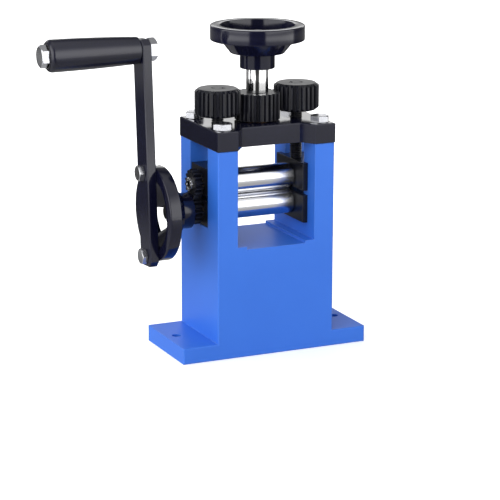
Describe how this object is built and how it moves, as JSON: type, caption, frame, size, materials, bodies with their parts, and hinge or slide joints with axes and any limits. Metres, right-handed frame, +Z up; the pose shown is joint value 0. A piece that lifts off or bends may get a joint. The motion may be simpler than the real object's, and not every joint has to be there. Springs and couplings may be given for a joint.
{
  "type": "jewellers rolling mill",
  "caption": "Hand-cranked rolling mill for jewellers: polished rollers geared together in a blue stand, a handwheel that sets their gap through geared screws, and a crank with a turning grip.",
  "frame": {"origin": "centre of the bench bolt pattern on the base's underside", "axes": "+Z up, +X along the rollers away from the crank, -Y towards the side the metal is fed from"},
  "size_m": [0.3148, 0.092, 0.317],
  "materials": {
    "blue_paint": "smooth satin paint",
    "black_paint": "glossy black paint",
    "black_oxide": "blackened steel, lightly oiled",
    "polished_steel": "mirror polish",
    "plated_fastener": "bright plated",
    "machined_steel": "fine machined",
    "bearing_bronze": "plain turned",
    "grip_plastic": "smooth glossy moulding"
  },
  "bodies": {
    "stand": {"frame_body": "blue_paint", "top_plate": "black_paint", "top_plate_bolts": "plated_fastener", "lower_block_left": "black_oxide", "lower_block_right": "black_oxide", "lower_bush_left": "bearing_bronze", "lower_bush_right": "bearing_bronze", "shaft_bush": "bearing_bronze", "lift_springs": "machined_steel"},
    "carriage": {"upper_block_left": "black_oxide", "upper_block_right": "black_oxide", "upper_bush_left": "bearing_bronze", "upper_bush_right": "bearing_bronze"},
    "top_roll": {"upper_roller": "polished_steel", "upper_roller_gear": "black_oxide", "upper_gear_pin": "machined_steel"},
    "adjusting_screw_left": {"screw_left": "black_oxide", "screw_gear_left": "black_oxide", "screw_gear_pin_left": "machined_steel"},
    "adjusting_screw_right": {"screw_right": "black_oxide", "screw_gear_right": "black_oxide", "screw_gear_pin_right": "machined_steel"},
    "adjuster": {"adjuster_shaft": "polished_steel", "centre_gear": "black_oxide", "centre_gear_pin": "machined_steel", "thrust_washer": "machined_steel", "shaft_circlip": "machined_steel", "handwheel": "black_paint", "handwheel_pin": "machined_steel", "handwheel_washer": "black_oxide", "handwheel_bolt": "black_oxide"},
    "crank": {"lower_roller": "polished_steel", "lower_roller_gear": "black_oxide", "lower_gear_pin": "machined_steel", "crank_spacer": "machined_steel", "crank_wheel": "black_paint", "crank_wheel_pin": "machined_steel", "crank_wheel_washer": "black_oxide", "crank_wheel_bolt": "black_oxide", "crank_arm": "black_paint", "crank_arm_bolts": "plated_fastener", "handle_bolt": "plated_fastener", "handle_nut": "plated_fastener"},
    "turning_grip": {"handle_grip": "grip_plastic"}
  },
  "joints": [
    {"name": "crank_turn", "type": "hinge", "parent": "stand", "child": "crank", "pos_m": [0, 0, 0.1407], "axis": [1, 0, 0], "continuous": true},
    {"name": "handwheel_turn", "type": "hinge", "parent": "stand", "child": "adjuster", "pos_m": [0, 0, 0.26], "axis": [0, 0, 1], "range_deg": [-540, 0]},
    {"name": "roller_gap", "type": "slide", "parent": "stand", "child": "carriage", "axis": [0, 0, 1], "range_m": [0, 0.00263], "deforming": ["lift_springs"]},
    {"name": "upper_roller_turn", "type": "hinge", "parent": "carriage", "child": "top_roll", "pos_m": [0, 0, 0.1663], "axis": [1, 0, 0], "continuous": true},
    {"name": "screw_left_turn", "type": "hinge", "parent": "carriage", "child": "adjusting_screw_left", "pos_m": [-0.042, 0, 0.2], "axis": [0, 0, 1], "range_deg": [0, 540]},
    {"name": "screw_right_turn", "type": "hinge", "parent": "carriage", "child": "adjusting_screw_right", "pos_m": [0.042, 0, 0.2], "axis": [0, 0, 1], "range_deg": [0, 540]},
    {"name": "grip_turn", "type": "hinge", "parent": "crank", "child": "turning_grip", "pos_m": [-0.16, 0.01154, 0.29778], "axis": [1, 0, 0], "continuous": true}
  ],
  "couplings": [
    {"joint": "upper_roller_turn", "follows": "crank_turn", "ratio": -1},
    {"joint": "roller_gap", "follows": "handwheel_turn", "m_per_rad": -0.00027852},
    {"joint": "screw_left_turn", "follows": "handwheel_turn", "ratio": -1},
    {"joint": "screw_right_turn", "follows": "handwheel_turn", "ratio": -1}
  ]
}
